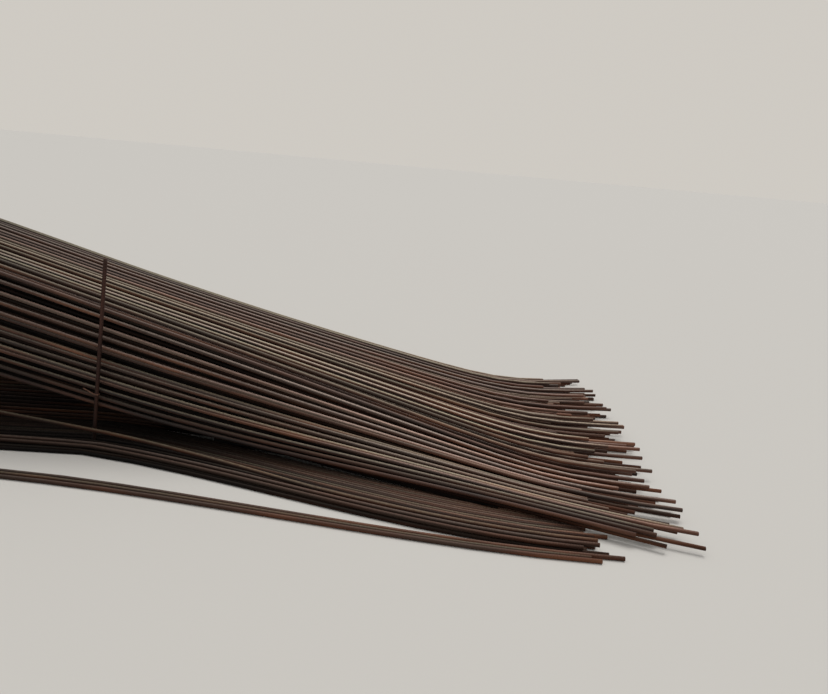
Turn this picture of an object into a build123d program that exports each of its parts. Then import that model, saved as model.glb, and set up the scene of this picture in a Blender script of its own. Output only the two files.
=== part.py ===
from build123d import *
import math
import os
import random

# Driving dimensions, in millimetres.
# X runs along the bars with the fanned toe at +X, Y runs across, Z is up from the floor.
# While it is built, x = 0 is the mean line of the toe and y = 0 the middle of the stack.
bar_diameter = 20.0
bar_length = 12000.0
bar_clearance = 0.2
core_clearance = 0.6
wall_clearance = 0.9
floor_clearance = 0.75
seed = 11

# Stack: where its edges run, and how steeply it comes down to the toe.
slope = 0.27
crest_x = -4850.0
crest_softness = 300.0
foot_softness = 130.0
underside_softness = 470.0
back_foot_x = -620.0
front_foot_x = -500.0
underside_foot_x = -2480.0
front_y = -600.0
shoulder_setback = 20.0
back_y = 575.0
fan_length = 3200.0
fan_bend = 1.8
toe_front_y = -1380.0
toe_shoulder_y = -660.0
toe_back_y = 1330.0
toe_unevenness = 380.0
toe_overshoot = 90.0
top_lump = 8.0
top_lump_count = 5

# Gaps between neighbouring bars, in bar pitches, and how many lie close at the shoulder.
touching_gap = 1.03
touching_share = 0.62
packed_gap = 1.95
open_gap_low = 1.7
open_gap_high = 2.9
edge_gap = 1.02
edge_room = 0.6
shoulder_bars = 4
inner_gap = 1.17
loose_gap_low = 2.5
loose_gap_high = 4.3
loose_margin = 1.5

# How far bars run across the layer below them over their whole length, in bar pitches.
face_drift = 0.8
inner_drift = 2.0
loose_swing_low = 3.0
loose_swing_high = 3.8
loose_lift = 0.6

# Extra room between the layers where the section twists, in millimetres.
twist_room = 1.65
face_sway_toe = -0.35
face_sway_left = 0.2

# Lower bars in the shaded recess below the front face.
recess_least_depth = 26.0
ledge_drop = 1.0
recess_depth = 260.0
recess_headroom = 70.0
side_jitter = 3.5
side_bend_end_x = -700.0

# Apron: bars on the floor at the foot of the front face, with a strip of them standing apart.
strip_count = 3
strip_recess_y = -1190.0
strip_recess_pitch = 30.0
apron_count = 20
apron_front_count = 6
apron_left_y = -1070.0
apron_recess_y = -830.0
apron_recess_pitch = 27.0
apron_behind_pitch = 22.3
apron_stake_room = 8.0
apron_toe_y = -1478.0
apron_toe_pitch = 21.0
apron_toe_x = -380.0
apron_fan_end_x = -400.0

# Recess bars: they lie on the apron, and the last one comes down to it from the heap.
recess_bar_level_ys = [-900.0, -860.0, -598.0]
recess_bar_recess_ys = [-790.0, -745.0, -690.0]
recess_bar_toe_ys = [-1410.0, -1370.0, -1330.0]
recess_bar_level_lifts = [0.0, 0.0, 270.0]
recess_bar_recess_lifts = [0.0, 0.0, 45.0]

# Straight ground layer under the toe.
ground_count = 58
ground_start_x = -2250.0
ground_start_front_y = -508.0
ground_start_back_y = 722.0
ground_end_gap = 8.0

# Upright stake with its wire tie, standing against the front face.
stake_diameter = 20.0
stake_height = 940.0
stake_x = -2830.0
stake_lean = 3.7
tie_height = 250.0
tie_wire_diameter = 3.0
tie_turns = 2
tie_tail_length = 60.0
tie_clearance = 0.3

radius = bar_diameter / 2
pitch = bar_diameter + bar_clearance
# Steps between layers are measured across the slope, so that bars there touch and don't cut.
layer_step = pitch * math.hypot(1, slope)
skin_depth = layer_step + (radius + core_clearance) * math.hypot(1, slope)
toe_height = radius + bar_clearance + pitch + layer_step
over_ground_bars = bar_diameter + floor_clearance
core_below = -200.0
far_out = 30
push_rounds = 6

# Stations where the bars' runs meet, from the toe to the level stretch.
toe_x = 0.0
foot_x = -600.0
fan_x = -1650.0
recess_x = -2800.0
crest_start_x = -4450.0
level_x = -5250.0
stations = [toe_x, foot_x, fan_x, recess_x, crest_start_x, level_x]
left_x = -bar_length + 60.0
smallest_turn = 0.12
run_share = 0.45
largest_bend_radius = 250.0
rng = random.Random(seed)


def soft_ramp(distance, softness):
    """A ramp that starts softly: about 0 below 0, and about distance above it."""
    if distance > far_out * softness:
        return distance
    return softness * math.log1p(math.exp(distance / softness))


def rise(x, edge_foot_x, softness=foot_softness):
    """Height above the toe layer of an edge that leaves the floor at edge_foot_x."""
    climbed = soft_ramp(edge_foot_x - x, softness)
    over = soft_ramp(crest_x - x, crest_softness)
    return max(slope * (climbed - over), 0.0)


def spread(x):
    """0 where the bars lie side by side, 1 at the fanned toe."""
    t = min(max((x + fan_length) / fan_length, 0.0), 1.0)
    return t ** fan_bend


def twist(x):
    """0 where the section keeps its shape along the bars, 1 where it turns most."""
    return 4 * spread(x) * (1 - spread(x))


def between(low, high, share):
    return low + (high - low) * share


lumps = [rng.uniform(-top_lump, top_lump) for _ in range(top_lump_count)]


def outer_section(x):
    """Centre line of the outer bar layer across the stack: front edge, shoulder, top, back edge."""
    s = spread(x)
    underside = toe_height + rise(x, underside_foot_x, underside_softness)
    edge = (between(front_y, toe_front_y, s), underside)
    shoulder = (between(front_y + shoulder_setback, toe_shoulder_y, s), toe_height + rise(x, front_foot_x))
    back = (between(back_y, toe_back_y, s), toe_height + rise(x, back_foot_x))
    points = [edge, shoulder]
    for i, lump in enumerate(lumps):
        share = (i + 1) / (top_lump_count + 1)
        height = between(shoulder[1], back[1], share) + lump * (1 - s)
        points.append((between(shoulder[0], back[0], share), height))
    points.append(back)
    return points


def inward(points, distance):
    """The same line, moved into the stack by distance."""
    moved = []
    for i, (y, z) in enumerate(points):
        before = points[max(i - 1, 0)]
        after = points[min(i + 1, len(points) - 1)]
        normals = []
        for (y0, z0), (y1, z1) in ((before, (y, z)), ((y, z), after)):
            run = math.hypot(y1 - y0, z1 - z0)
            if run > 0:
                normals.append(((z1 - z0) / run, -(y1 - y0) / run))
        ny = sum(n[0] for n in normals) / len(normals)
        nz = sum(n[1] for n in normals) / len(normals)
        scale = distance / (ny * ny + nz * nz)
        moved.append((y + ny * scale, z + nz * scale))
    return moved


def bar_units():
    """Places of the bars across the section, in pitches, and the pitches on the front face."""
    front_units = slope * (front_foot_x - underside_foot_x) / pitch
    top_units = (back_y - front_y) / pitch
    all_units = front_units + top_units
    places = [0.0]
    while places[-1] < front_units - open_gap_high - touching_gap:
        places.append(places[-1] + rng.uniform(open_gap_low, open_gap_high))
    places += [front_units + i * edge_gap for i in range(shoulder_bars)]
    while places[-1] < all_units - packed_gap - touching_gap - edge_gap:
        touching = rng.random() < touching_share
        gap = touching_gap if touching else rng.uniform(touching_gap, packed_gap)
        places.append(places[-1] + gap)
    places.append(all_units - edge_gap)
    places.append(all_units)
    return places, front_units, all_units


def on_section(points, place, front_units, all_units):
    """The point of a section at a bar's place."""
    if place <= front_units:
        share = place / front_units
        (y0, z0), (y1, z1) = points[0], points[1]
        return between(y0, y1, share), between(z0, z1, share)
    top = points[1:]
    position = min((place - front_units) / (all_units - front_units), 1.0) * (len(top) - 1)
    i = min(int(position), len(top) - 2)
    (y0, z0), (y1, z1) = top[i], top[i + 1]
    return between(y0, y1, position - i), between(z0, z1, position - i)


def turn_at(before, point, after):
    return (Vector(*point) - Vector(*before)).get_angle(Vector(*after) - Vector(*point))


def bent_bar(points, diameter=bar_diameter):
    """A round bar along straight runs joined by tangent arcs, as large as the runs allow."""
    kept = [points[0]]
    for i in range(1, len(points) - 1):
        if turn_at(kept[-1], points[i], points[i + 1]) > smallest_turn:
            kept.append(points[i])
    kept.append(points[-1])
    runs = [math.dist(a, b) for a, b in zip(kept, kept[1:])]
    radii = []
    for i in range(1, len(kept) - 1):
        half_turn = math.radians(turn_at(kept[i - 1], kept[i], kept[i + 1]) / 2)
        room = run_share * min(runs[i - 1], runs[i]) / math.tan(half_turn)
        radii.append(min(room, largest_bend_radius))
    path = FilletPolyline(*kept, radius=radii) if radii else Line(*kept)
    face = Plane(origin=path @ 0, z_dir=path % 0) * Circle(diameter / 2)
    return sweep(face, path=path)


def on_runs(place_at, x):
    """The (y, z) at x on the straight runs between the stations."""
    for right, left in zip(stations, stations[1:]):
        if right >= x >= left:
            share = (x - right) / (left - right)
            (y0, z0), (y1, z1) = place_at(right), place_at(left)
            return between(y0, y1, share), between(z0, z1, share)
    return place_at(x)


def full_bar(place_at, end_x):
    """A whole bar: place_at gives its (y, z) at a station, and its left end follows its length."""
    points = [(end_x, *on_runs(place_at, end_x))]
    points += [(x, *place_at(x)) for x in stations if x < end_x - bar_diameter]
    used = sum(math.dist(a, b) for a, b in zip(points, points[1:]))
    left_end_x = level_x - (bar_length - used)
    points.append((left_end_x, *place_at(left_end_x)))
    return bent_bar(points)


def toe_end():
    return rng.uniform(-toe_unevenness, toe_overshoot)


def left_end():
    return rng.uniform(-toe_unevenness / 2, 0.0)


places, front_units, all_units = bar_units()


def make_outer_bars():
    """The outer layer, and how many of its bars are on the front face."""
    bars = []
    for place in places:
        bars.append(full_bar(
            lambda x: on_section(outer_section(x), place, front_units, all_units), toe_end()))
    return bars, sum(place < front_units for place in places)


def make_inner_bars():
    """The second layer, which runs a little across the first along its length."""
    toe_drift = inner_drift * crest_x / left_x
    first_top = front_units + inner_drift - toe_drift
    last_top = all_units - toe_drift - edge_room
    second = [place for place in places if place < front_units]
    face_bars = len(second)
    for place in places:
        if first_top <= place <= last_top - inner_gap and place - second[-1] >= inner_gap:
            second.append(place)
    second.append(last_top)
    bars = []
    for i, place in enumerate(second):
        on_face = i < face_bars
        drift = face_drift if on_face else inner_drift
        start = place * (1 + edge_gap / front_units) if on_face else place
        def place_at(x):
            sway = between(face_sway_toe, face_sway_left, x / left_x) if on_face else 0.0
            points = inward(outer_section(x), layer_step + sway + twist_room * twist(x))
            moved = start + drift * (x - crest_x) / -left_x
            return on_section(points, max(moved, 0.0), front_units, all_units)
        bars.append(full_bar(place_at, toe_end()))
    return bars


def make_loose_bars():
    """Single bars on top of the outer layer, which spread a little towards the left end."""
    bars = []
    place = front_units + loose_swing_high + loose_margin
    while place < all_units - loose_swing_high - loose_margin:
        swing = rng.uniform(loose_swing_low, loose_swing_high)
        if place < (front_units + all_units) / 2:
            swing = -swing
        def place_at(x):
            lift = loose_lift if x <= level_x else 0.0
            points = inward(outer_section(x), -layer_step - lift)
            return on_section(points, place + swing * x / left_x, front_units, all_units)
        bars.append(full_bar(place_at, toe_end()))
        place += rng.uniform(loose_gap_low, loose_gap_high)
    return bars


def open_share(x):
    """0 on the level stretch, 1 from the stake on, where the recess is fully open."""
    return min(max((x - level_x) / (recess_x - level_x), 0.0), 1.0)


def setback(x):
    """How far the lower front face stands behind the front edge above it."""
    return between(recess_least_depth, recess_depth, open_share(x))


def end_below(edge, height):
    """The x at which an edge of the outer section has come down to a height."""
    x = level_x
    while x < toe_x and on_runs(lambda at: outer_section(at)[edge], x)[1] > height:
        x += bar_diameter
    return x


def level_bar(height, y_at, end_x):
    """A level bar of a side face: it runs into the heap where the slope comes down on it."""
    points = [(end_x, *on_runs(lambda x: (y_at(x), height), end_x))]
    points += [(x, y_at(x), height) for x in stations if x < end_x - bar_diameter]
    points.append((left_x + left_end(), y_at(left_x), height))
    return bent_bar(points)


def make_back_bars():
    bars = []
    height = radius + bar_clearance
    while height < outer_section(level_x)[-1][1] - layer_step:
        end_x = min(end_below(-1, height + pitch + bar_diameter), side_bend_end_x)
        if height < bar_diameter:
            end_x = ground_start_x - ground_end_gap
        jitter = rng.uniform(0.0, side_jitter)
        bars.append(level_bar(height, lambda x: outer_section(x)[-1][0] + jitter, end_x))
        height += pitch
    return bars


def make_lower_front_bars():
    bars = []
    height = radius + bar_clearance
    while height < outer_section(level_x)[0][1] - layer_step:
        end_x = min(end_below(0, height + recess_headroom), ground_start_x - ground_end_gap)
        jitter = rng.uniform(-side_jitter, 0.0)
        bars.append(level_bar(
            height, lambda x: outer_section(x)[0][0] + setback(x) + jitter, end_x))
        height += pitch
    return bars


def apron_fan(x):
    """0 up to the stake, 1 at the toe."""
    start = apron_fan_end_x - fan_length + toe_unevenness
    shares = [min(max((at - start) / (apron_fan_end_x - start), 0.0), 1.0) for at in (x, recess_x)]
    now, at_stake = [share * share * (3 - 2 * share) for share in shares]
    return max(now - at_stake, 0.0) / (1 - at_stake)


def make_apron_bars(stake_y):
    """Bars on the floor: a strip that stands apart, then both sides of the stake's foot."""
    bars = []
    behind_y = stake_y + stake_diameter / 2 + radius + apron_stake_room
    front_end = strip_count + apron_front_count
    for i in range(apron_count):
        if i < strip_count:
            recess_y = strip_recess_y + i * strip_recess_pitch
        elif i < front_end:
            recess_y = apron_recess_y + (i - strip_count) * apron_recess_pitch
        else:
            recess_y = behind_y + (i - front_end) * apron_behind_pitch
        def place_at(x):
            stack_y = between(apron_left_y + i * pitch, recess_y, open_share(x))
            y = between(stack_y, apron_toe_y + i * apron_toe_pitch, apron_fan(x))
            return y, radius + bar_clearance
        bars.append(full_bar(place_at, apron_toe_x + rng.uniform(-toe_overshoot, toe_overshoot)))
    return bars


def make_recess_bars():
    """Single bars on the apron, below the front face."""
    bars = []
    on_apron = radius + bar_clearance + pitch
    for level_y, recess_y, toe_y, level_lift, recess_lift in zip(
            recess_bar_level_ys, recess_bar_recess_ys, recess_bar_toe_ys,
            recess_bar_level_lifts, recess_bar_recess_lifts):
        def place_at(x):
            y = between(between(level_y, recess_y, open_share(x)), toe_y, apron_fan(x))
            fall = min(max((x - recess_x) / (fan_x - recess_x), 0.0), 1.0)
            lift = between(between(level_lift, recess_lift, open_share(x)), 0.0, fall)
            return y, on_apron + lift
        bars.append(full_bar(place_at, apron_toe_x + rng.uniform(-toe_overshoot, toe_overshoot)))
    return bars


def make_ground_bars():
    """The straight ends that lie on the floor under the toe; their rest is in the core."""
    bars = []
    toe_front = apron_toe_y + apron_count * apron_toe_pitch
    for i in range(ground_count):
        share = i / (ground_count - 1)
        first_y = between(ground_start_front_y, ground_start_back_y, share)
        toe_y = between(toe_front, toe_back_y - radius, share)
        end_x = toe_end()
        last_y = between(toe_y, first_y, end_x / ground_start_x)
        bars.append(bent_bar([(ground_start_x, first_y, radius), (end_x, last_y, radius)]))
    return bars


def core_outline(x):
    """The core's section: lower front face, ledge, skin under the bar layers, back wall."""
    outer = outer_section(x)
    skin = inward(outer, skin_depth + 2 * twist_room * twist(x))
    face_y = outer[0][0] + setback(x) + radius + wall_clearance
    wall_y = outer[-1][0] - radius - wall_clearance
    (front_skin_y, roof) = skin[0]
    ledge = roof - radius - core_clearance
    outline = [(face_y, core_below), (face_y, ledge - ledge_drop), (front_skin_y, ledge)] + skin[:-1]
    (y0, z0), (y1, z1) = skin[-2], skin[-1]
    wall_top = between(z0, z1, (wall_y - y0) / (y1 - y0))
    return outline + [(wall_y, wall_top), (wall_y, core_below)]


def make_core():
    """Plain body in place of the bars inside the stack."""
    sections = []
    for x in [left_x] + stations[::-1]:
        plane = Plane(origin=(x, 0, 0), x_dir=(0, 1, 0), z_dir=(1, 0, 0))
        sections.append(plane * make_face(Polyline(*core_outline(x), close=True)))
    body = loft(sections, ruled=True)
    room = 2 * bar_length
    split_x = ground_start_x - ground_end_gap
    left_room = Box(room, room, room, align=(Align.MAX, Align.CENTER, Align.MIN))
    right_room = Box(room, room, room, align=(Align.MIN, Align.CENTER, Align.MIN))
    rooms = Pos(split_x, 0, 0) * left_room + Pos(split_x, 0, over_ground_bars) * right_room
    return (body & rooms).solids()


def push_against(piece, others):
    """The piece, moved along +Y until it all but touches the nearest of the others."""
    moved = 0.0
    for _ in range(push_rounds):
        room = min(piece.distance_to(other) for other in others) - bar_clearance
        piece = Pos(0, room, 0) * piece
        moved += room
    return piece, moved


def make_stake(others):
    """The stake, pushed against the front face, and the y at which it stands."""
    lean = math.tan(math.radians(stake_lean))
    start_y = toe_front_y
    foot = (stake_x, start_y, stake_diameter / 2 * math.sin(math.radians(stake_lean)))
    head = (stake_x + lean * stake_height, start_y, stake_height)
    stake, moved = push_against(bent_bar([foot, head], stake_diameter), others)
    return stake, start_y + moved


def make_tie_wire(stake_y):
    """Two turns of wire round the stake and the twisted tail that stands out from them."""
    lean = math.tan(math.radians(stake_lean))
    ring_radius = stake_diameter / 2 + tie_wire_diameter / 2 + tie_clearance
    turns = []
    for i in range(tie_turns):
        z = tie_height + i * (tie_wire_diameter + tie_clearance)
        turn = Torus(ring_radius, tie_wire_diameter / 2)
        turns.append(Pos(stake_x + lean * z, stake_y, z) * Rot(0, stake_lean, 0) * turn)
    tail_start = Vector(stake_x + lean * tie_height - ring_radius - tie_wire_diameter, stake_y, tie_height)
    tail_end = tail_start + Vector(-tie_tail_length, 0, tie_tail_length / 2)
    tail = Plane(origin=tail_start, z_dir=tail_end - tail_start) * Circle(tie_wire_diameter)
    tail = extrude(tail, tie_tail_length)
    return turns + [tail]


outer, face_count = make_outer_bars()
front_face, top = outer[:face_count], outer[face_count:]
stake, stake_y = make_stake(front_face)

nodes = {
    "core": make_core(),
    "front_face_bars": front_face,
    "top_bars": top,
    "inner_bars": make_inner_bars(),
    "loose_bars": make_loose_bars(),
    "ground_bars": make_ground_bars(),
    "back_bars": make_back_bars(),
    "lower_front_bars": make_lower_front_bars(),
    "apron_bars": make_apron_bars(stake_y),
    "recess_bars": make_recess_bars(),
    "stake": [stake],
    "tie_wire": make_tie_wire(stake_y),
}

boxes = [solid.bounding_box() for solids in nodes.values() for solid in solids]
middle_x = (min(box.min.X for box in boxes) + max(box.max.X for box in boxes)) / 2
middle_y = (min(box.min.Y for box in boxes) + max(box.max.Y for box in boxes)) / 2
to_origin = Pos(-middle_x, -middle_y, 0)

os.makedirs("parts", exist_ok=True)
for name, solids in nodes.items():
    placed = [to_origin * solid for solid in solids]
    export_step(Compound(children=placed), f"parts/{name}.step")
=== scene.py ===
import bmesh
import bpy
import math
import random
from mathutils import Matrix, Vector


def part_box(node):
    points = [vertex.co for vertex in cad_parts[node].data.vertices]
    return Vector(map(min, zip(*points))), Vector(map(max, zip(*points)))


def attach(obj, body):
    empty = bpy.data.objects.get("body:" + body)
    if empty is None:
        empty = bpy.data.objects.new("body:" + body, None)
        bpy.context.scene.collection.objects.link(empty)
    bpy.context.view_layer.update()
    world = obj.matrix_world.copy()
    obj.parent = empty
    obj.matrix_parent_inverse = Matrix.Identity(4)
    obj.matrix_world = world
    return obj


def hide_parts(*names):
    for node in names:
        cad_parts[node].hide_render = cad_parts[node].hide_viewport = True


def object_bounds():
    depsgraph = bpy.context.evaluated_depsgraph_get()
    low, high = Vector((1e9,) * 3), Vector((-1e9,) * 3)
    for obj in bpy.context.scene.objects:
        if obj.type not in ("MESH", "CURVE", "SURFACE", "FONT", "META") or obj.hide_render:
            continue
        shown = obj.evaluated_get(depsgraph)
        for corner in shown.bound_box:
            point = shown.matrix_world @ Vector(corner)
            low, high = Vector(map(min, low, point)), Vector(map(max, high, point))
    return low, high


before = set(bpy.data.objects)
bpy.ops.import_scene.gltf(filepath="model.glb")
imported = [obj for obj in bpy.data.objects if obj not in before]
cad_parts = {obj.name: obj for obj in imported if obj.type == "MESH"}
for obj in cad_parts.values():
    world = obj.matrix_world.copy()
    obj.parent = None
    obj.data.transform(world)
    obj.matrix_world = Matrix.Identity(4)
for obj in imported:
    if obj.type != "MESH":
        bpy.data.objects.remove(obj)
cad_box = [list(corner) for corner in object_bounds()]

# Driving dimensions in metres, the same as the part's.
# "Along" runs down the bars with 0 at the mean line of the toe, "across" has 0 at the stack's middle.
BAR_RADIUS = 0.010
BAR_LENGTH = 12.0
PITCH = 0.0202
FLOOR_GAP = 0.0002
SLOPE = 0.27
LEFT_END = -11.94
LEVEL_AT = -5.25
CREST_AT = -4.85
CREST_SOFTNESS = 0.30
FOOT_SOFTNESS = 0.13
UNDERSIDE_SOFTNESS = 0.47
BACK_FOOT_AT = -0.62
FRONT_FOOT_AT = -0.50
UNDERSIDE_FOOT_AT = -2.48
FRONT = -0.600
SHOULDER = -0.580
BACK = 0.575
FAN_LENGTH = 3.2
FAN_BEND = 1.8
TOE_FRONT = -1.380
TOE_SHOULDER = -0.660
TOE_BACK = 1.330

# Heights, and places round the outer layer counted in pitches: up the front face, then over the top.
LOWEST = BAR_RADIUS + FLOOR_GAP
LAYER_STEP = PITCH * math.hypot(1, SLOPE)
TOE_HEIGHT = LOWEST + PITCH + LAYER_STEP
FACE_PLACES = SLOPE * (FRONT_FOOT_AT - UNDERSIDE_FOOT_AT) / PITCH
ALL_PLACES = FACE_PLACES + (BACK - FRONT) / PITCH

# Recess below the front face, and the level bars at its back and in the back face.
RECESS_AT = -2.80
RECESS_LEAST = 0.026
RECESS_DEPTH = 0.260
RECESS_ROOM = 0.070
RECESS_END = -2.20
BACK_FACE_ROOM = PITCH + 0.020
BACK_FACE_END = -0.70
SIDE_STRAY = 0.003

# Bars on the floor in front of the recess: a strip that stands apart, then both sides of the stake.
STRIP_COUNT = 3
STRIP_AT_RECESS = -1.190
STRIP_PITCH = 0.030
APRON_COUNT = 20
APRON_FRONT_COUNT = 6
APRON_LEFT = -1.070
APRON_FRONT_AT_RECESS = -0.830
APRON_FRONT_PITCH = 0.0332
APRON_BEHIND_STAKE = 0.0211
APRON_BEHIND_PITCH = 0.0245
APRON_TOE = -1.478
APRON_TOE_INSET = 0.003
APRON_TOE_PITCH = 0.021
APRON_TOE_END = -0.38
APRON_TOE_STRAY = 0.09
APRON_FAN_START = -3.22
APRON_FAN_END = -0.40
# Across on the level, at the recess and at the toe, then how high it lies on the level and at the recess.
RECESS_RUNS = [(-0.900, -0.790, -1.410, 0.0, 0.0),
               (-0.860, -0.745, -1.370, 0.0, 0.0),
               (-0.598, -0.690, -1.330, 0.270, 0.045)]
RECESS_FALL = 1.15

# Bars on the floor under the fan.
GROUND_COUNT = 58
GROUND_START = -2.25
GROUND_START_FRONT = -0.508
GROUND_START_BACK = 0.722
GROUND_END_FRONT = APRON_TOE + APRON_COUNT * APRON_TOE_PITCH
GROUND_END_BACK = TOE_BACK - BAR_RADIUS

# Bar ends: how far they stray at the toe and at the left, what the slope takes up of their length, and
# how far the left ends keep from the top in layers, and from the front and the back in pitches.
TOE_ENDS = (-0.40, 0.075)
LEFT_STRAY = 0.15
SLOPE_TAKES = 0.105
STUB_LENGTHS = (0.01, 0.14)
ENDS_BELOW_TOP = 2.5
ENDS_BEHIND_FRONT = 2.6
ENDS_BEFORE_BACK = 1.2

# Where the core's thin toe is cut off, and how far back a bar may lie, 1 mm inside the part's width.
CORE_CUT_AT = -0.80
BACK_LIMIT = cad_box[1][1] - BAR_RADIUS - 0.001

# How a bent bar is divided: a small share of its rings on the straight stretch.
BEND_START = LEVEL_AT - 0.6
STRAIGHT_RINGS = 0.16

# Short steps that read a direction: along a bar in metres, and round the outer layer in places.
DIRECTION_STEP = 0.02
PLACE_STEP = 0.6

# Bars that lie close together, in pitches from one to the next.
CLOSE = 1.03

# What each bar hands to its material: a place along its pattern, its tone, the dust on it, which also
# paints a highlight, and its painted shade. Dust with highlight and painted shade differ from bar to bar
# by these spreads, and each bar's pattern starts anywhere in this many metres.
BAR_LOOKS = ("along", "tone", "dust", "shade")
DUST_AND_HIGHLIGHT_SPREAD = (0.35, 1.5)
PAINTED_COVER_SHADE_SPREAD = (0.55, 1.3)
NOISE_REACH = 50.0

# The stake: its place across, how it keeps inside the part's, its tone, and its painted shade at its foot.
STAKE_ACROSS = -0.6429
STAKE_SLIMMER = 0.98
STAKE_FOOT_GAP = 0.001
STAKE_TONE = 0.5
STAKE_FOOT_SHADE = 0.3

# Where the part's zero lines are in the frame, from the core's left end and the stake.
stake_low, stake_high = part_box("stake")
ORIGIN_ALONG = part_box("core")[0][0] - LEFT_END
ORIGIN_ACROSS = (stake_low[1] + stake_high[1]) / 2 - STAKE_ACROSS

# Camera, as it stood to the stack in the photograph.
CAMERA_ALONG = -1.25
CAMERA_ACROSS = -4.6
CAMERA_HEIGHT = 1.6
CAMERA_PITCH = 13.63
CAMERA_ROLL = 5.14
FOCAL_PIXELS = 830
IMAGE_WIDTH = 828
SENSOR_WIDTH = 36.0
VIEW_REACH = 200.0

# Floor and light, with the sun's size and lean in degrees.
FLOOR_REACH = 60.0
SKY_STRENGTH = 0.75
SUN_STRENGTH = 1.3
SUN_SIZE = 35
SUN_LEAN_BACK = -28
SUN_LEAN_SIDE = 14

# Patterns on a bar, in times per turn round it, per metre along it, and from bar to bar.
STREAKS = (1.2, 1.6, 40.0)
SPECKS = (6.0, 90.0, 40.0)
RIB_SPACING = 0.012
RIB_ROWS = 2.0
RIB_HEIGHT = 0.0012

rng = random.Random(7)


# Shape of the stack.

def between(low, high, share):
    return low + (high - low) * share


def share_of(value, start, end):
    """0 up to start, 1 from end on, and even between."""
    return min(max((value - start) / (end - start), 0.0), 1.0)


def soft_ramp(distance, softness):
    """About 0 below 0 and about distance above it, with a soft start that is over by 30 times softness."""
    if distance > 30 * softness:
        return distance
    return softness * math.log1p(math.exp(distance / softness))


def rise(along, foot_at, softness=FOOT_SOFTNESS):
    """Height above the toe of an edge that leaves the floor at foot_at."""
    climbed = soft_ramp(foot_at - along, softness)
    over = soft_ramp(CREST_AT - along, CREST_SOFTNESS)
    return max(SLOPE * (climbed - over), 0.0)


def spread(along):
    """0 where the bars lie side by side, 1 at the fanned toe."""
    return share_of(along, -FAN_LENGTH, 0.0) ** FAN_BEND


def on_layer(along, place):
    """Across and height of a place on the outer layer's centre line."""
    s = spread(along)
    edge = (between(FRONT, TOE_FRONT, s), TOE_HEIGHT + rise(along, UNDERSIDE_FOOT_AT, UNDERSIDE_SOFTNESS))
    shoulder = (between(SHOULDER, TOE_SHOULDER, s), TOE_HEIGHT + rise(along, FRONT_FOOT_AT))
    if place <= FACE_PLACES:
        share = place / FACE_PLACES
        return between(edge[0], shoulder[0], share), between(edge[1], shoulder[1], share)
    back = (between(BACK, TOE_BACK, s), TOE_HEIGHT + rise(along, BACK_FOOT_AT))
    share = (place - FACE_PLACES) / (ALL_PLACES - FACE_PLACES)
    return between(shoulder[0], back[0], share), between(shoulder[1], back[1], share)


def in_stack(along, place, depth):
    """The point depth inside the outer layer's centre line at a place."""
    low = on_layer(along, max(place - PLACE_STEP, 0.0))
    high = on_layer(along, min(place + PLACE_STEP, ALL_PLACES))
    run = math.hypot(high[0] - low[0], high[1] - low[1])
    across, height = on_layer(along, min(max(place, 0.0), ALL_PLACES))
    return across + (high[1] - low[1]) / run * depth, height - (high[0] - low[0]) / run * depth


def open_share(along):
    """0 on the level stretch, 1 from the stake on, where the recess is fully open."""
    return share_of(along, LEVEL_AT, RECESS_AT)


def setback(along):
    """How far the lower front lies behind the front face's lowest bar."""
    return between(RECESS_LEAST, RECESS_DEPTH, open_share(along))


def apron_fan(along):
    """0 up to the stake, 1 at the toe, with a soft start and end."""
    shares = [share_of(at, APRON_FAN_START, APRON_FAN_END) for at in (along, RECESS_AT)]
    now, at_stake = [share * share * (3 - 2 * share) for share in shares]
    return max(now - at_stake, 0.0) / (1 - at_stake)


def end_below(place, height):
    """Where an edge of the layer has come down to a height."""
    along = LEVEL_AT
    while along < 0.0 and on_layer(along, place)[1] > height:
        along += BAR_RADIUS
    return along


# Where bars lie and end.

def wander(amount, longest=6.0):
    """A slow random drift along a bar, as long stock never lies quite straight."""
    # Three waves of different lengths, which together reach about the amount.
    waves = [(rng.uniform(0.5, 1.0), longest * rng.uniform(0.4, 1.0), rng.uniform(0, math.tau))
             for _ in range(3)]
    def drift(along):
        return amount * sum(a * math.sin(math.tau * along / w + p) for a, w, p in waves) / 1.8
    return drift


def gaps(first, last, low, high, together=0.0):
    """Places from first to last with random gaps between them, a share of them lying close together."""
    places = [first]
    while places[-1] < last - high:
        close = rng.random() < together
        places.append(places[-1] + (CLOSE if close else rng.uniform(low, high)))
    return places


def toe_end():
    """Where a bar of the stack ends, some short of the mean line of the toe and some past it."""
    return rng.uniform(*TOE_ENDS)


def left_end_of(right):
    """Where a whole bar's left end lies: its length from its right end, less what the slope takes up."""
    return right - BAR_LENGTH + SLOPE_TAKES * share_of(-right, LEVEL_AT, 0.0)


def lighter(low, high, start, end):
    """Painted shade along a bar's run: dark (low) below the heap, and light (high) where it comes out of
    it.
    """
    return lambda along: between(low, high, share_of(along, start, end))


# Bars.

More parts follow.
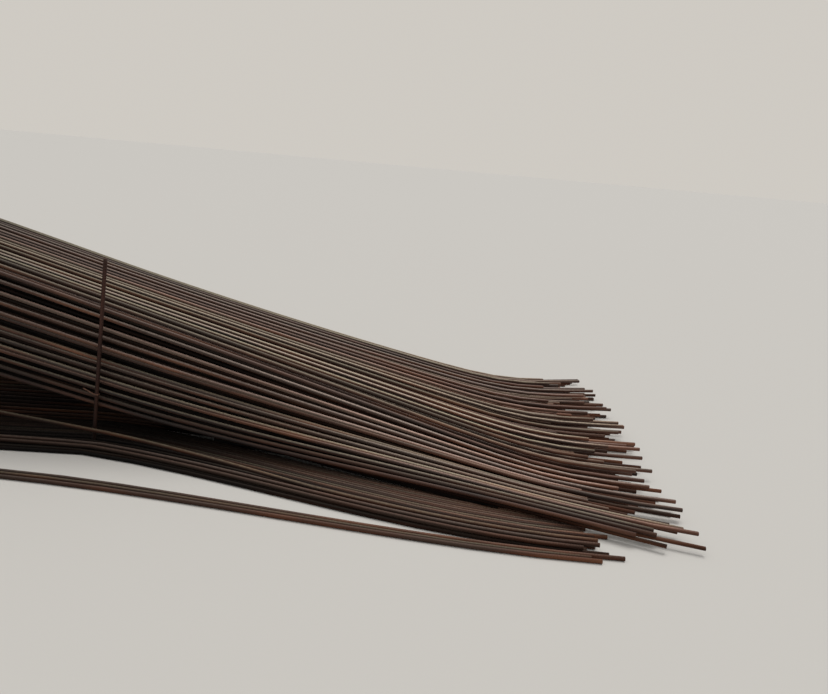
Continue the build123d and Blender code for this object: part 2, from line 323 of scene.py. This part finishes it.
def bar_blank(sides, rings):
    """A straight bar of unit radius and length, with its ends closed, u round it and rings along it."""
    blank = bmesh.new()
    turn = Matrix.Rotation(math.pi / 2, 4, "Y")
    bmesh.ops.create_circle(blank, segments=sides, radius=1.0, matrix=turn, cap_ends=True)
    ring = blank.edges[:]
    for _ in range(rings):
        made = bmesh.ops.extrude_edge_only(blank, edges=ring)["geom"]
        fresh = [item for item in made if isinstance(item, bmesh.types.BMVert)]
        bmesh.ops.translate(blank, verts=fresh, vec=(1 / rings, 0, 0))
        kept = set(fresh)
        ring = [item for item in made if isinstance(item, bmesh.types.BMEdge) and set(item.verts) <= kept]
    bmesh.ops.holes_fill(blank, edges=ring, sides=sides)
    bmesh.ops.recalc_face_normals(blank, faces=blank.faces)
    around = blank.loops.layers.uv.new("around")
    for face in blank.faces:
        face.smooth = len(face.verts) == 4
        turns = [math.atan2(loop.vert.co.z, loop.vert.co.y) / math.tau for loop in face.loops]
        seam = face.smooth and max(turns) - min(turns) > 0.5
        for loop, u in zip(face.loops, turns):
            loop[around].uv = (u + 1 if seam and u < 0 else u, loop.vert.co.x)
    for name in BAR_LOOKS:
        blank.verts.layers.float.new(name)
    return blank


def stations(left, right):
    """A map from 0..1 on the blank to a place along the stack, with most rings on the bent stretch."""
    if left > BEND_START:
        return lambda t: between(left, right, t)
    def place_of(t):
        if t < STRAIGHT_RINGS:
            return between(left, BEND_START, t / STRAIGHT_RINGS)
        return between(BEND_START, right, (t - STRAIGHT_RINGS) / (1 - STRAIGHT_RINGS))
    return place_of


def lay_bar(heap, blank, centre_at, left, right, dust=1.0, shade=1.0):
    """Bends a copy of the blank to its run in the stack and puts it on the heap."""
    # The fan's outermost bars end a little early, within the part's own width.
    while centre_at(right)[0] + ORIGIN_ACROSS > BACK_LIMIT:
        right -= BAR_RADIUS
    bar = blank.copy()
    layers = [bar.verts.layers.float[name] for name in BAR_LOOKS]
    place_of = stations(left, right)
    start = rng.uniform(0.0, NOISE_REACH)
    tone = rng.random()
    dust *= rng.uniform(*DUST_AND_HIGHLIGHT_SPREAD)
    # Painted shade and light from bar to bar: some are painted darker, as if half hidden below their
    # neighbours, others lighter, as if they stood proud of them.
    painted_cover_shade = between(*PAINTED_COVER_SHADE_SPREAD, tone * 13 % 1)
    rings = {}
    for vert in bar.verts:
        t = round(vert.co.x, 5)
        if t not in rings:
            along = place_of(t)
            centre = Vector((along, *centre_at(along)))
            ahead = Vector((along + DIRECTION_STEP, *centre_at(along + DIRECTION_STEP)))
            forward = (ahead - centre).normalized()
            side = Vector((0, 0, 1)).cross(forward).normalized()
            rings[t] = (centre, side, forward.cross(side), along)
        centre, side, up, along = rings[t]
        light = painted_cover_shade * (shade(along) if callable(shade) else shade)
        for layer, value in zip(layers, (start + along, tone, dust, light)):
            vert[layer] = value
        vert.co = centre + BAR_RADIUS * (side * vert.co.y + up * vert.co.z)
        vert.co.x += ORIGIN_ALONG
        vert.co.y += ORIGIN_ACROSS
    loose = bpy.data.meshes.new("bar")
    bar.to_mesh(loose)
    bar.free()
    heap.from_mesh(loose)
    bpy.data.meshes.remove(loose)


def stack_bar(heap, blank, place, depth, swing=0.0, stray=0.25, **look):
    """A whole bar of the stack at a place and depth. swing is how many places it crosses."""
    sideways = wander(stray)
    right = toe_end()
    def centre_at(along):
        moved = place + swing * (along - CREST_AT) / -LEFT_END + sideways(along)
        return in_stack(along, min(max(moved, 0.0), ALL_PLACES), depth)
    lay_bar(heap, blank, centre_at, left_end_of(right), right, **look)


# Pieces.

def mesh_object(name, shape, material):
    """An object of the shape, which is used up."""
    mesh = bpy.data.meshes.new(name)
    shape.to_mesh(mesh)
    shape.free()
    mesh.materials.append(material)
    piece = bpy.data.objects.new(name, mesh)
    bpy.context.scene.collection.objects.link(piece)
    return piece


def finish_piece(name, shape, slot, material, *nodes):
    """Makes one piece of the shape, which stands for the CAD nodes."""
    piece = mesh_object(name, shape, material)
    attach(piece, "root")
    if nodes:
        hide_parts(*nodes)


fine_blank = bar_blank(sides=10, rings=36)
plain_blank = bar_blank(sides=8, rings=24)
short_blank = bar_blank(sides=8, rings=8)


def make_face_bars(material):
    """Outer bars of the front face. The two lowest are darkened with painted shade and keep little of the
    dusty top with its painted highlight.
    """
    heap = bmesh.new()
    for i, place in enumerate(gaps(0.0, FACE_PLACES - 0.5, low=1.9, high=3.0, together=0.15)):
        look = {"dust": 0.3, "shade": 0.6} if i < 2 else {"dust": 1.1, "shade": 1.0}
        stack_bar(heap, fine_blank, place, rng.uniform(0.0, 0.004), stray=0.15, **look)
    finish_piece("face_bars", heap, "rusted_bar", material, "front_face_bars")


def make_top_bars(material):
    """Outer bars of the top, about half of them close to the next one."""
    heap = bmesh.new()
    for place in gaps(FACE_PLACES + 0.4, ALL_PLACES, low=1.5, high=2.6, together=0.55):
        stack_bar(heap, fine_blank, place, rng.uniform(0.0, 0.003), stray=0.12)
    finish_piece("upper_bars", heap, "rusted_bar", material, "top_bars")


def make_second_layer(material):
    """Bars that show in the gaps of the outer layer, and come out of it at the toe."""
    heap = bmesh.new()
    # Painted shade: these bars are painted dark where they show in the gaps, and lighter where they come
    # out at the toe.
    shade = lighter(0.28, 0.85, start=-0.7, end=-0.2)
    for place in gaps(0.0, ALL_PLACES, low=1.4, high=2.6, together=0.3):
        stack_bar(heap, plain_blank, place, LAYER_STEP, swing=0.8, dust=0.2, shade=shade)
    finish_piece("second_layer", heap, "rusted_bar", material, "inner_bars")


def make_riding_bars(material):
    """Loose bars on the top, which lean outwards the further they are from its middle."""
    heap = bmesh.new()
    middle = (FACE_PLACES + ALL_PLACES) / 2
    for place in gaps(FACE_PLACES + 3.0, ALL_PLACES - 6.0, low=2.2, high=4.6):
        swing = rng.uniform(1.5, 4.0) * (place - middle) / (ALL_PLACES - middle)
        # Much dust on these bars, which also paints a bright highlight along their tops.
        stack_bar(heap, fine_blank, place, -LAYER_STEP, swing=swing, stray=0.3, dust=1.3)
    finish_piece("riding_bars", heap, "rusted_bar", material, "loose_bars")


def make_side_bars(name, node, material, slot, place, room, across_at, last_end):
    """Level bars one on another, as far as the edge at place leaves room above them."""
    heap = bmesh.new()
    height = LOWEST
    while height < on_layer(LEVEL_AT, place)[1] - LAYER_STEP:
        right = min(end_below(place, height + room), last_end)
        if height < 2 * BAR_RADIUS:
            right = min(right, GROUND_START)
        off = rng.uniform(0.0, SIDE_STRAY)
        # Painted shade: these level bars are painted darker, and carry little dust and painted highlight.
        lay_bar(heap, plain_blank, lambda along: (across_at(along, off), height),
                LEFT_END + rng.uniform(-LEFT_STRAY, 0.0), right, dust=0.4, shade=0.6)
        height += PITCH
    finish_piece(name, heap, slot, material, node)


def apron_at_recess(i):
    """Across of a floor bar at the recess: in the strip, in front of the stake, or behind it."""
    if i < STRIP_COUNT:
        return STRIP_AT_RECESS + i * STRIP_PITCH
    i -= STRIP_COUNT
    if i < APRON_FRONT_COUNT:
        return APRON_FRONT_AT_RECESS + i * APRON_FRONT_PITCH
    return STAKE_ACROSS + APRON_BEHIND_STAKE + (i - APRON_FRONT_COUNT) * APRON_BEHIND_PITCH


def make_apron_bars(material):
    """Bars on the floor, painted near black with painted shade in the recess. One lies lighter than the
    next, in a set order.
    """
    heap = bmesh.new()
    painted_recess_shade = lighter(0.25, 0.9, start=-2.6, end=-1.1)
    for i in range(APRON_COUNT):
        strip = i < STRIP_COUNT
        right = APRON_TOE_END + rng.uniform(-APRON_TOE_STRAY, APRON_TOE_STRAY)
        drift = wander(0.003 if strip else 0.001, longest=3.0)
        def centre_at(along):
            at_stack = between(APRON_LEFT + i * PITCH, apron_at_recess(i), open_share(along))
            at_toe = APRON_TOE + APRON_TOE_INSET + i * APRON_TOE_PITCH
            across = between(at_stack, at_toe, apron_fan(along))
            return across + drift(along) * open_share(along), LOWEST
        own = between(0.4, 1.0, i * 7 % 10 / 9)
        # Painted shade: near black in the recess and lighter towards the toe, and the strip a little
        # darker all along.
        lay_bar(heap, plain_blank, centre_at, left_end_of(right), right, dust=0.7 * own,
                shade=0.8 if strip else lambda along: own * painted_recess_shade(along))
    finish_piece("apron_bars_on_floor", heap, "dark_bar", material, "apron_bars")


def make_recess_bars(material):
    """Single bars that lie on the apron below the front face."""
    heap = bmesh.new()
    for at_level, at_recess, at_toe, level_lift, recess_lift in RECESS_RUNS:
        right = APRON_TOE_END + rng.uniform(-APRON_TOE_STRAY, APRON_TOE_STRAY)
        def centre_at(along):
            across = between(between(at_level, at_recess, open_share(along)), at_toe, apron_fan(along))
            fall = share_of(along, RECESS_AT, RECESS_AT + RECESS_FALL)
            lift = between(between(level_lift, recess_lift, open_share(along)), 0.0, fall)
            return across, LOWEST + PITCH + lift
        # Painted shade: these bars are painted darker, and carry little dust and painted highlight.
        lay_bar(heap, fine_blank, centre_at, left_end_of(right), right, dust=0.5, shade=0.7)
    finish_piece("bars_in_recess", heap, "dark_bar", material, "recess_bars")


def make_ground_bars(material):
    """The stretches of the lowest bars that show under the fan."""
    heap = bmesh.new()
    # Painted shade: darker under the fan, lighter where the bars come out at the toe.
    shade = lighter(0.4, 0.9, start=-0.8, end=-0.2)
    for i in range(GROUND_COUNT):
        share = i / (GROUND_COUNT - 1)
        first = between(GROUND_START_FRONT, GROUND_START_BACK, share)
        last = between(GROUND_END_FRONT, GROUND_END_BACK, share)
        lay_bar(heap, short_blank, lambda along: (between(last, first, along / GROUND_START), BAR_RADIUS),
                GROUND_START, toe_end(), dust=0.5, shade=shade)
    finish_piece("ground_layer", heap, "rusted_bar", material, "ground_bars")


def make_left_ends(material):
    """Rows of bar ends on the core's left end."""
    heap = bmesh.new()
    stub = bar_blank(sides=8, rings=1)
    layers_above = ENDS_BELOW_TOP * LAYER_STEP
    height = LOWEST
    row = 0
    while height < on_layer(LEFT_END, ALL_PLACES)[1] - layers_above:
        across = FRONT + ENDS_BEHIND_FRONT * PITCH + (row % 2) * PITCH / 2
        while across < BACK - ENDS_BEFORE_BACK * PITCH:
            top_share = max((across - SHOULDER) / (BACK - SHOULDER), 0.0)
            top = on_layer(LEFT_END, between(FACE_PLACES, ALL_PLACES, top_share))[1]
            if height < top - layers_above:
                end = LEFT_END - rng.uniform(*STUB_LENGTHS)
                lay_bar(heap, stub, lambda along: (across, height), end, LEFT_END + BAR_RADIUS, dust=0.3)
            across += PITCH
        height += PITCH
        row += 1
    finish_piece("left_bar_ends", heap, "rusted_bar", material)


def make_dark_inside(material):
    """The core as the part has it, but cut off where the toe is only three bars thick."""
    inside = bmesh.new()
    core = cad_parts["core"]
    inside.from_mesh(core.data)
    inside.transform(core.matrix_world)
    everything = inside.verts[:] + inside.edges[:] + inside.faces[:]
    cut = bmesh.ops.bisect_plane(inside, geom=everything, plane_co=(ORIGIN_ALONG + CORE_CUT_AT, 0, 0),
                                 plane_no=(1, 0, 0), clear_outer=True)
    rim = [item for item in cut["geom_cut"] if isinstance(item, bmesh.types.BMEdge)]
    bmesh.ops.holes_fill(inside, edges=rim, sides=0)
    finish_piece("dark_inside", inside, "dark_bar", material, "core")


def make_stake(material):
    """The leaning stake, a hair thinner than the part's and with its foot a hair higher."""
    stake = bar_blank(sides=16, rings=40)
    foot = Vector((stake_low[0] + BAR_RADIUS, (stake_low[1] + stake_high[1]) / 2, stake_low[2]))
    head = Vector((stake_high[0] - BAR_RADIUS, foot.y, stake_high[2]))
    side = Vector((0, 1, 0))
    out = side.cross((head - foot).normalized())
    foot.z += STAKE_FOOT_GAP
    layers = [stake.verts.layers.float[name] for name in BAR_LOOKS]
    for vert in stake.verts:
        t = vert.co.x
        # Painted shade: the stake is painted darker towards its foot.
        looks = (t * (head - foot).length, STAKE_TONE, 1.0, min(STAKE_FOOT_SHADE + t, 1.0))
        for layer, value in zip(layers, looks):
            vert[layer] = value
        vert.co = foot.lerp(head, t) + BAR_RADIUS * STAKE_SLIMMER * (side * vert.co.y + out * vert.co.z)
    bmesh.ops.recalc_face_normals(stake, faces=stake.faces)
    finish_piece("upright_stake", stake, "stake_steel", material, "stake")


def coat_tie_wire(material):
    """The part's own tie wire keeps its shape and gets its rust."""
    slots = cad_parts["tie_wire"].data.materials
    slots.clear()
    slots.append(material)


# Materials.

def linear(hex_colour):
    """An sRGB hex colour as linear RGBA."""
    parts = [int(hex_colour[i:i + 2], 16) / 255 for i in (0, 2, 4)]
    return [c / 12.92 if c <= 0.04045 else ((c + 0.055) / 1.055) ** 2.4 for c in parts] + [1.0]


def fill(tree, node, inputs):
    """Links each of a node's inputs to another node or to one of its outputs, or sets it to a value."""
    for key, value in inputs.items():
        if isinstance(value, bpy.types.Node):
            value = next(output for output in value.outputs if output.enabled)
        if isinstance(value, bpy.types.NodeSocket):
            tree.links.new(value, node.inputs[key])
        else:
            node.inputs[key].default_value = value


def add(tree, kind, inputs=None, stops=(), **settings):
    """Adds a shader node with its properties, inputs, and a colour ramp's (position, hex colour) stops."""
    node = tree.nodes.new("ShaderNode" + kind)
    for key, value in settings.items():
        setattr(node, key, value)
    fill(tree, node, inputs or {})
    for _ in stops[2:]:
        node.color_ramp.elements.new(0.5)
    for number, (position, colour) in enumerate(stops):
        node.color_ramp.elements[number].position = position
        node.color_ramp.elements[number].color = linear(colour)
    return node


def new_material(name):
    """A new material with its node tree and shader."""
    material = bpy.data.materials.new(name)
    material.use_nodes = True
    return material, material.node_tree, material.node_tree.nodes["Principled BSDF"]


def rusted_bar_steel(name, scale_colours, rust_colours, dust_colours, dust_share, gloss):
    """Hot-rolled ribbed bar left in the rain: brown rust over mill scale, grey-tan and dusty on top, where
    the grey-tan is also a painted highlight, all darkened by painted shade.
    """
    material, tree, shader = new_material(name)
    turn = add(tree, "UVMap", uv_map="around")
    around = add(tree, "SeparateXYZ", {"Vector": turn}).outputs["X"]
    looks = [add(tree, "Attribute", attribute_name=look).outputs["Fac"] for look in BAR_LOOKS]
    along, tone, dust, shade = looks
    spot = add(tree, "TexCoord")
    down_stack = add(tree, "SeparateXYZ", {"Vector": spot.outputs["Object"]}).outputs["X"]

    # Streaks of rust run along a bar for about 600 mm, and specks are about 11 mm wide.
    on_bar = add(tree, "CombineXYZ", {"X": around, "Y": along, "Z": tone})
    streak_spot = add(tree, "VectorMath", {0: on_bar, 1: STREAKS}, operation="MULTIPLY")
    streaks = add(tree, "TexNoise", {"Vector": streak_spot, "Scale": 1.0, "Detail": 5.0})
    speck_spot = add(tree, "VectorMath", {0: on_bar, 1: SPECKS}, operation="MULTIPLY")
    specks = add(tree, "TexNoise", {"Vector": speck_spot, "Scale": 1.0, "Detail": 3.0})

    # The toe lies on damp ground, so rust covers more of a bar there, and less of its dust and painted
    # highlight stays.
    toe_share = add(tree, "MapRange", {
        "Value": down_stack, "From Min": ORIGIN_ALONG - 2.6, "From Max": ORIGIN_ALONG, "To Max": 0.45})
    streaked = add(tree, "MapRange", {"Value": streaks, "From Min": 0.38, "From Max": 0.66})
    rust_share = add(tree, "Math", {0: streaked, 1: toe_share}, operation="ADD", use_clamp=True)
    mill_scale = add(tree, "ValToRGB", {"Fac": tone}, scale_colours)
    rust = add(tree, "ValToRGB", {"Fac": streaks}, rust_colours)
    body = add(tree, "Mix", {"Factor": rust_share, "A": mill_scale, "B": rust}, data_type="RGBA")

    # Dust and a painted highlight lie where a bar faces up, broken up by the specks.
    upward = add(tree, "SeparateXYZ", {"Vector": spot.outputs["Normal"]}).outputs["Z"]
    facing_up = add(tree, "MapRange", {"Value": upward, "From Min": 0.35, "From Max": 1.0})
    broken_up = add(tree, "Math", {0: facing_up, 1: specks}, operation="MULTIPLY")
    dust_and_highlight_on_bar = add(tree, "Math", {0: broken_up, 1: dust}, operation="MULTIPLY")
    dry_share = add(tree, "Math", {0: 1.0, 1: toe_share}, operation="SUBTRACT")
    dust_and_highlight_kept = add(tree, "Math", {0: dust_and_highlight_on_bar, 1: dry_share}, operation="MULTIPLY")
    dust_and_highlight_mix = add(tree, "Math", {0: dust_and_highlight_kept, 1: dust_share}, operation="MULTIPLY", use_clamp=True)

    # One bar's dust and painted highlight are yellower, another's pinker, after the soil and rust in the
    # dust.
    seven_tones = add(tree, "Math", {0: tone, 1: 7.0}, operation="MULTIPLY")
    hue = add(tree, "Math", {0: seven_tones}, operation="FRACT")
    tinted = add(tree, "ValToRGB", {"Fac": hue}, dust_colours)
    colour = add(tree, "Mix", {"Factor": dust_and_highlight_mix, "A": body, "B": tinted}, data_type="RGBA")

    # Painted shade: the stack is painted darker up the slope and lighter towards the toe, times each bar's
    # painted shade.
    painted_slope_shade = add(tree, "MapRange", {
        "Value": down_stack, "From Min": ORIGIN_ALONG - 4.0, "From Max": ORIGIN_ALONG - 1.0,
        "To Min": 0.60, "To Max": 1.27})
    light = add(tree, "Math", {0: shade, 1: painted_slope_shade}, operation="MULTIPLY")
    shaded = add(tree, "VectorMath", {0: colour, "Scale": light}, operation="SCALE")

    # Slanted ribs 12 mm apart in two rows round the bar, over the roughness of the specks.
    rows = add(tree, "Math", {0: around, 1: RIB_ROWS}, operation="MULTIPLY")
    steps = add(tree, "Math", {0: along, 1: RIB_SPACING}, operation="DIVIDE")
    slant = add(tree, "Math", {0: rows, 1: steps}, operation="ADD")
    angle = add(tree, "Math", {0: slant, 1: math.tau}, operation="MULTIPLY")
    wave = add(tree, "Math", {0: angle}, operation="SINE")
    ribs = add(tree, "MapRange", {"Value": wave, "From Min": 0.3, "From Max": 0.9})
    relief = add(tree, "Math", {0: specks, 1: ribs}, operation="ADD")
    bump = add(tree, "Bump", {"Height": relief, "Strength": 0.6, "Distance": RIB_HEIGHT})

    # The raised specks of rust are duller than the bar between them.
    roughness = add(tree, "MapRange", {"Value": specks, "To Min": 0.55, "To Max": 0.85})
    fill(tree, shader, {
        "Base Color": shaded, "Roughness": roughness, "Normal": bump,
        "Metallic": 0.25, "Specular IOR Level": gloss})
    return material


def rusted_tie_wire():
    """Soft annealed wire with bright orange-brown rust, lighter than the bars it ties."""
    material, tree, shader = new_material("rusted_annealed_wire")
    # Patches of rust are about 17 mm long.
    where = add(tree, "TexCoord").outputs["Object"]
    patches = add(tree, "TexNoise", {"Vector": where, "Scale": 60.0, "Detail": 3.0})
    rust = add(tree, "ValToRGB", {"Fac": patches}, [(0.35, "5c4032"), (0.6, "8a6450"), (0.8, "a9876f")])
    fill(tree, shader, {"Base Color": rust, "Roughness": 0.65, "Metallic": 0.2})
    return material


def shaded_core_steel():
    """The heap's inside, seen only through gaps: rusted and dull, and painted brown-black as painted
    shade.
    """
    material, tree, shader = new_material("shaded_rusty_core")
    # The grain is a bar's 20 mm wide, and 50 mm long down the stack.
    where = add(tree, "TexCoord").outputs["Object"]
    stretch = add(tree, "Mapping", {"Vector": where, "Scale": (0.4, 1.0, 1.0)})
    grain = add(tree, "TexNoise", {"Vector": stretch, "Scale": 50.0, "Detail": 3.0})
    colour = add(tree, "ValToRGB", {"Fac": grain}, [(0.3, "0c0a09"), (0.7, "1b1512")])
    fill(tree, shader, {"Base Color": colour, "Roughness": 0.9, "Specular IOR Level": 0.05})
    return material


def pale_floor():
    """Smooth matt studio floor, so that nothing but the stack's shadow shows on it."""
    material, tree, shader = new_material("pale_floor")
    fill(tree, shader, {"Base Color": linear("cfcbc4"), "Roughness": 0.9})
    return material


# Colours of the bars' mill scale from bar to bar, of the rust along its streaks, and of the dust and
# painted highlight.
BAR_SCALE = [(0.0, "302824"), (0.45, "43362f"), (0.8, "524137"), (1.0, "67564a")]
BAR_RUST = [(0.35, "402b22"), (0.55, "5e3a2a"), (0.75, "80553d")]
BAR_DUST_AND_HIGHLIGHT = [(0.0, "a49a80"), (0.4, "ab9987"), (0.7, "a39186"), (1.0, "a68878")]
rusted = rusted_bar_steel(
    "rusted_hot_rolled_bar", BAR_SCALE, BAR_RUST, BAR_DUST_AND_HIGHLIGHT, dust_share=1.6, gloss=0.5)
# Bars deep in the heap are the same, but their reflection is weakened as painted shade, since they have
# little sky to mirror.
rusted_in_painted_shade = rusted_bar_steel(
    "rusted_bar_in_painted_shade", BAR_SCALE, BAR_RUST, BAR_DUST_AND_HIGHLIGHT, dust_share=1.6, gloss=0.15)
# The stake has rusted all over, redder than the bars, with hardly any dust and so hardly any painted
# highlight.
stake_rust = rusted_bar_steel(
    "heavily_rusted_stake",
    scale_colours=[(0.0, "2e1c16"), (0.5, "3a241c"), (1.0, "442a20")],
    rust_colours=[(0.3, "3a2119"), (0.6, "4f2e22"), (0.8, "66402f")],
    dust_colours=[(0.0, "7a5a48"), (1.0, "7a5a48")],
    dust_share=0.4, gloss=0.4)

make_face_bars(rusted)
make_top_bars(rusted)
make_second_layer(rusted_in_painted_shade)
make_riding_bars(rusted)
make_side_bars("shaded_front", "lower_front_bars", rusted_in_painted_shade, "dark_bar", 0.0, RECESS_ROOM,
               lambda along, off: on_layer(along, 0.0)[0] + setback(along) - off, RECESS_END)
make_side_bars("back_face", "back_bars", rusted, "rusted_bar", ALL_PLACES, BACK_FACE_ROOM,
               lambda along, off: on_layer(along, ALL_PLACES)[0] + off, BACK_FACE_END)
make_apron_bars(rusted_in_painted_shade)
make_recess_bars(rusted_in_painted_shade)
make_ground_bars(rusted)
make_left_ends(rusted)
make_stake(stake_rust)
make_dark_inside(shaded_core_steel())
coat_tie_wire(rusted_tie_wire())


# Floor, light and camera.

def make_floor():
    floor = bmesh.new()
    bmesh.ops.create_grid(floor, x_segments=1, y_segments=1, size=FLOOR_REACH)
    mesh_object("pale_floor", floor, pale_floor())


def make_sky():
    """An overcast sky, with about three times as much light from above as from the horizon."""
    world = bpy.data.worlds.new("soft_studio")
    bpy.context.scene.world = world
    world.use_nodes = True
    tree = world.node_tree
    way = add(tree, "TexCoord").outputs["Generated"]
    upward = add(tree, "SeparateXYZ", {"Vector": way}).outputs["Z"]
    height = add(tree, "MapRange", {"Value": upward})
    dome = add(tree, "ValToRGB", {"Fac": height}, [(0.0, "9b9da0"), (1.0, "ffffff")])
    seen = add(tree, "LightPath").outputs["Is Camera Ray"]
    sky = add(tree, "Mix", {"Factor": seen, "A": dome, "B": linear("ebe6de")}, data_type="RGBA")
    fill(tree, tree.nodes["Background"], {"Strength": SKY_STRENGTH, "Color": sky})


def make_sun():
    lamp = bpy.data.lights.new("high_soft_light", "SUN")
    lamp.energy = SUN_STRENGTH
    lamp.angle = math.radians(SUN_SIZE)
    holder = bpy.data.objects.new("high_soft_light", lamp)
    holder.rotation_euler = (math.radians(SUN_LEAN_BACK), math.radians(SUN_LEAN_SIDE), 0)
    bpy.context.scene.collection.objects.link(holder)


def make_camera():
    lens = bpy.data.cameras.new("camera")
    lens.sensor_width = SENSOR_WIDTH
    lens.lens = FOCAL_PIXELS / IMAGE_WIDTH * SENSOR_WIDTH
    lens.clip_end = VIEW_REACH
    camera = bpy.data.objects.new("camera", lens)
    place = Matrix.Translation((ORIGIN_ALONG + CAMERA_ALONG, ORIGIN_ACROSS + CAMERA_ACROSS, CAMERA_HEIGHT))
    tilt = Matrix.Rotation(math.radians(90 - CAMERA_PITCH), 4, "X")
    roll = Matrix.Rotation(math.radians(CAMERA_ROLL), 4, "Z")
    camera.matrix_world = place @ tilt @ roll
    bpy.context.scene.collection.objects.link(camera)
    bpy.context.scene.camera = camera


make_floor()
make_sky()
make_sun()
make_camera()
bpy.context.scene.view_settings.view_transform = "Standard"

bpy.context.view_layer.update()
